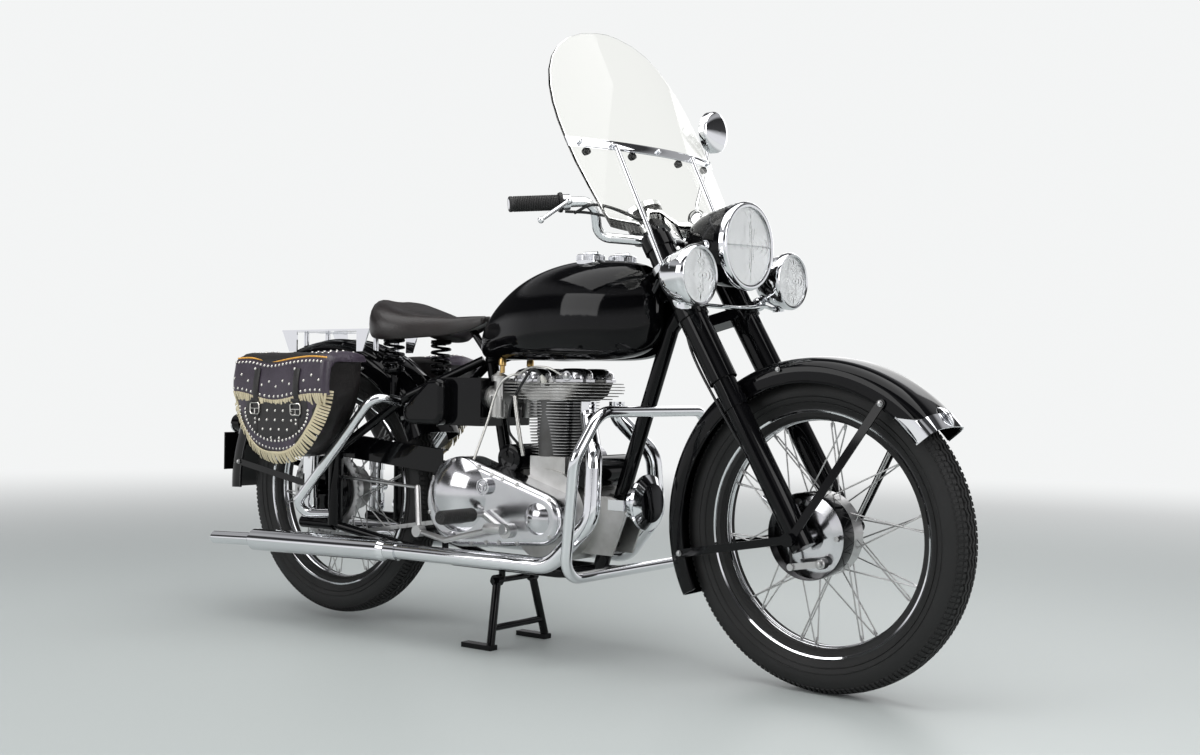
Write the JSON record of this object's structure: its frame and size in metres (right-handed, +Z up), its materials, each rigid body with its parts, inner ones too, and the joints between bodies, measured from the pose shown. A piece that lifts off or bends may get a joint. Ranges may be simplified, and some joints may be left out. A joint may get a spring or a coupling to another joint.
{
  "type": "solo motorcycle",
  "caption": "Solo twin-cylinder motorcycle of about 1950 on its centre stand, with windscreen, lamps, leather saddlebags and crash bar.",
  "frame": {"origin": "on the floor, at the bottom centre of the whole motorcycle's box", "axes": "+X forward along the motorcycle, +Y to the rider's left, +Z up"},
  "size_m": [2.2108, 0.7116, 1.439],
  "materials": {
    "black_enamel": "deep gloss black stove enamel",
    "chrome_plate": "bright chromium plate",
    "polished_alloy": "hand-polished alloy",
    "cast_alloy": "sand-cast alloy, lightly aged",
    "barrel_iron": "grey cast iron, matt",
    "bright_steel": "plain bright steel",
    "saddle_leather": "dark brown hide, worn smooth",
    "bag_leather": "dark purple-brown hide",
    "black_rubber": "moulded black rubber",
    "tyre_rubber": "black tyre rubber, slightly dusty",
    "screen_sheet": "clear acrylic, slightly yellowed"
  },
  "bodies": {
    "frame": {"main_frame": "black_enamel", "plunger_units": "chrome_plate", "rear_brake_plate": "black_enamel", "crankcase": "cast_alloy", "cylinder_barrels": "barrel_iron", "cylinder_heads": "cast_alloy", "outer_cover": "polished_alloy", "timing_cover": "polished_alloy", "magneto": "black_enamel", "dynamo": "black_enamel", "engine_plates": "cast_alloy", "carburettors": "cast_alloy", "exhausts": "chrome_plate", "fuel_tank": "black_enamel", "tank_caps": "chrome_plate", "saddle": "saddle_leather", "saddle_springs": "black_enamel", "rear_mudguard": "black_enamel", "number_plate": "black_enamel", "tail_lamp": "black_enamel", "luggage_rack": "chrome_plate", "pannier_right": "bag_leather", "pannier_left": "bag_leather", "bag_bars": "chrome_plate", "battery_box": "black_enamel", "tool_box": "black_enamel", "oil_tank": "black_enamel", "crash_bar": "chrome_plate", "horn": "chrome_plate", "drive_chain": "bright_steel", "chain_guard": "black_enamel", "footrests": "bright_steel", "footrest_rubbers": "black_rubber", "foot_levers": "bright_steel", "kick_starter": "bright_steel"},
    "steering": {"fork_legs": "black_enamel", "fork_yokes": "black_enamel", "headlamp": "chrome_plate", "fog_lamps": "chrome_plate", "handlebar": "chrome_plate", "grips": "black_rubber", "control_levers": "chrome_plate", "mirror": "chrome_plate", "speedometer": "black_enamel", "windscreen": "screen_sheet", "screen_frame": "chrome_plate", "front_mudguard": "black_enamel", "front_brake_plate": "polished_alloy"},
    "front_wheel": {"front_tyre": "tyre_rubber", "front_rim": "chrome_plate", "front_hub": "bright_steel"},
    "rear_wheel": {"rear_tyre": "tyre_rubber", "rear_rim": "chrome_plate", "rear_hub": "bright_steel", "rear_sprocket": "bright_steel"},
    "centre_stand": {"centre_stand": "black_enamel"}
  },
  "joints": [
    {"name": "steering", "type": "hinge", "parent": "frame", "child": "steering", "pos_m": [0.40194, -0.00466, 0.85], "axis": [-0.5, 0, 0.866], "range_deg": [-29.3, 36.7]},
    {"name": "front_wheel_spin", "type": "hinge", "parent": "steering", "child": "front_wheel", "pos_m": [0.77595, -0.00878, 0.32993], "axis": [0.0559, 0.9979, 0.0323], "continuous": true},
    {"name": "rear_wheel_spin", "type": "hinge", "parent": "frame", "child": "rear_wheel", "pos_m": [-0.65779, -0.00466, 0.345], "axis": [0, 1, 0], "continuous": true},
    {"name": "centre_stand", "type": "hinge", "parent": "frame", "child": "centre_stand", "pos_m": [-0.05779, -0.00466, 0.16], "axis": [0, 1, 0], "range_deg": [0, 75]}
  ]
}
